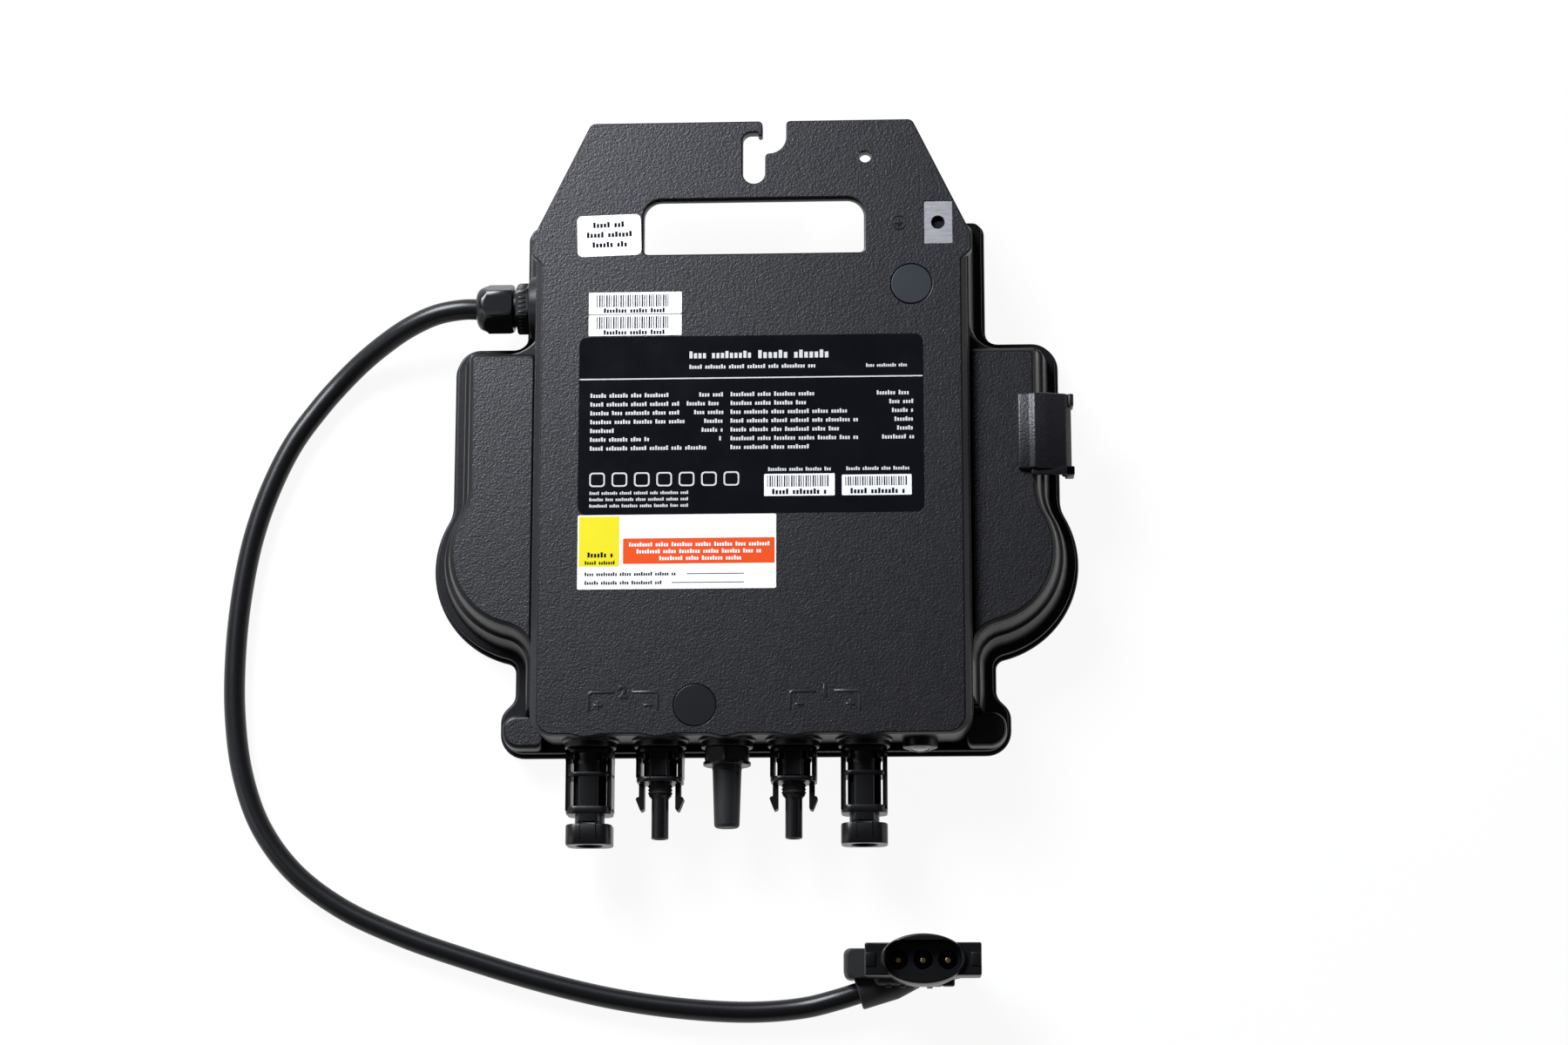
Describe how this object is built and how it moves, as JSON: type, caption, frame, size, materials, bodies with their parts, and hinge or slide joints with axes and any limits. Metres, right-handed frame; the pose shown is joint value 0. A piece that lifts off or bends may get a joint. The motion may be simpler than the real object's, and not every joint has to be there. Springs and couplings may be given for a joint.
{
  "type": "micro inverter",
  "caption": "Flat die-cast micro inverter with hanger plate, handle opening, DC couplers, antenna, cable gland and a captive AC cable with its plug.",
  "frame": {"origin": "under the middle of the inverter without its cable, on the back cover's outer face", "axes": "+X to the right of the front panel, +Y towards the hanger plate, +Z out of the front panel; the inverter lies on its back"},
  "size_m": [0.3472, 0.3614, 0.0412],
  "materials": {
    "cast_black": "leather-textured black powder coat on die-cast aluminium",
    "black_rubber": "smooth dull rubber",
    "steel": "bare",
    "grey_plastic": "satin",
    "clear_lens": "clear, polished",
    "black_plastic": "satin moulded",
    "brass": "plated",
    "board_green": "solder resist",
    "ferrite": "sintered",
    "copper": "enamelled",
    "foil": "sleeved",
    "bare_aluminium": "extruded"
  },
  "bodies": {
    "inverter": {"housing": "cast_black", "back_cover": "cast_black", "cover_gasket": "black_rubber", "cover_screw_1": "steel", "cover_screw_2": "steel", "cover_screw_3": "steel", "cover_screw_4": "steel", "cover_screw_5": "steel", "cover_screw_6": "steel", "cover_screw_7": "steel", "cover_screw_8": "steel", "fill_plug_upper": "grey_plastic", "fill_plug_lower": "grey_plastic", "indicator_lens": "clear_lens", "cable_clip": "cast_black", "dc_socket_1": "black_plastic", "contact_pin_1": "brass", "dc_socket_2": "black_plastic", "contact_pin_2": "brass", "dc_plug_1": "black_plastic", "plug_seal_1": "black_rubber", "contact_sleeve_1": "brass", "dc_plug_2": "black_plastic", "plug_seal_2": "black_rubber", "contact_sleeve_2": "brass", "antenna_base": "black_plastic", "antenna_cap": "black_plastic", "antenna_rod": "copper", "gland_body": "black_plastic", "gland_locknut": "steel", "ac_cable": "black_rubber", "ac_plug_front": "black_plastic", "ac_plug_back": "black_plastic", "ac_plug_pin_1": "brass", "ac_plug_pin_2": "brass", "ac_plug_pin_3": "brass", "main_board": "board_green", "board_screw_1": "steel", "board_screw_2": "steel", "board_screw_3": "steel", "board_screw_4": "steel", "transformer_1": "ferrite", "transformer_2": "ferrite", "bulk_capacitor_1": "foil", "bulk_capacitor_2": "foil", "bulk_capacitor_3": "foil", "relay_1": "grey_plastic", "relay_2": "grey_plastic", "output_choke": "copper", "heat_bar": "bare_aluminium", "radio_module": "steel", "dc_terminal": "grey_plastic", "ac_terminal": "grey_plastic"},
    "latch_arm_1_left": {"latch_arm_1_left": "black_plastic"},
    "latch_arm_1_right": {"latch_arm_1_right": "black_plastic"},
    "latch_arm_2_left": {"latch_arm_2_left": "black_plastic"},
    "latch_arm_2_right": {"latch_arm_2_right": "black_plastic"},
    "gland_seal": {"gland_seal": "black_rubber"},
    "gland_nut": {"gland_nut": "black_plastic"}
  },
  "joints": [
    {"name": "latch_arm_1_left_flex", "type": "hinge", "parent": "inverter", "child": "latch_arm_1_left", "pos_m": [-0.0439, -0.12195, 0.02], "axis": [0, 0, 1], "range_deg": [0, 6], "stiffness_Nm_per_rad": 0.02},
    {"name": "latch_arm_1_right_flex", "type": "hinge", "parent": "inverter", "child": "latch_arm_1_right", "pos_m": [-0.0295, -0.12195, 0.02], "axis": [0, 0, 1], "range_deg": [-6, 0], "stiffness_Nm_per_rad": 0.02},
    {"name": "latch_arm_2_left_flex", "type": "hinge", "parent": "inverter", "child": "latch_arm_2_left", "pos_m": [0.0091, -0.12195, 0.02], "axis": [0, 0, 1], "range_deg": [0, 6], "stiffness_Nm_per_rad": 0.02},
    {"name": "latch_arm_2_right_flex", "type": "hinge", "parent": "inverter", "child": "latch_arm_2_right", "pos_m": [0.0235, -0.12195, 0.02], "axis": [0, 0, 1], "range_deg": [-6, 0], "stiffness_Nm_per_rad": 0.02},
    {"name": "gland_nut_travel", "type": "slide", "parent": "inverter", "child": "gland_seal", "axis": [-1, 0, 0], "range_m": [0, 0.0045]},
    {"name": "gland_nut_turn", "type": "hinge", "parent": "gland_seal", "child": "gland_nut", "pos_m": [-0.105, 0.07495, 0.02], "axis": [-1, 0, 0], "range_deg": [0, 1080]}
  ],
  "couplings": [
    {"joint": "gland_nut_travel", "follows": "gland_nut_turn", "m_per_rad": 0.00023873}
  ]
}
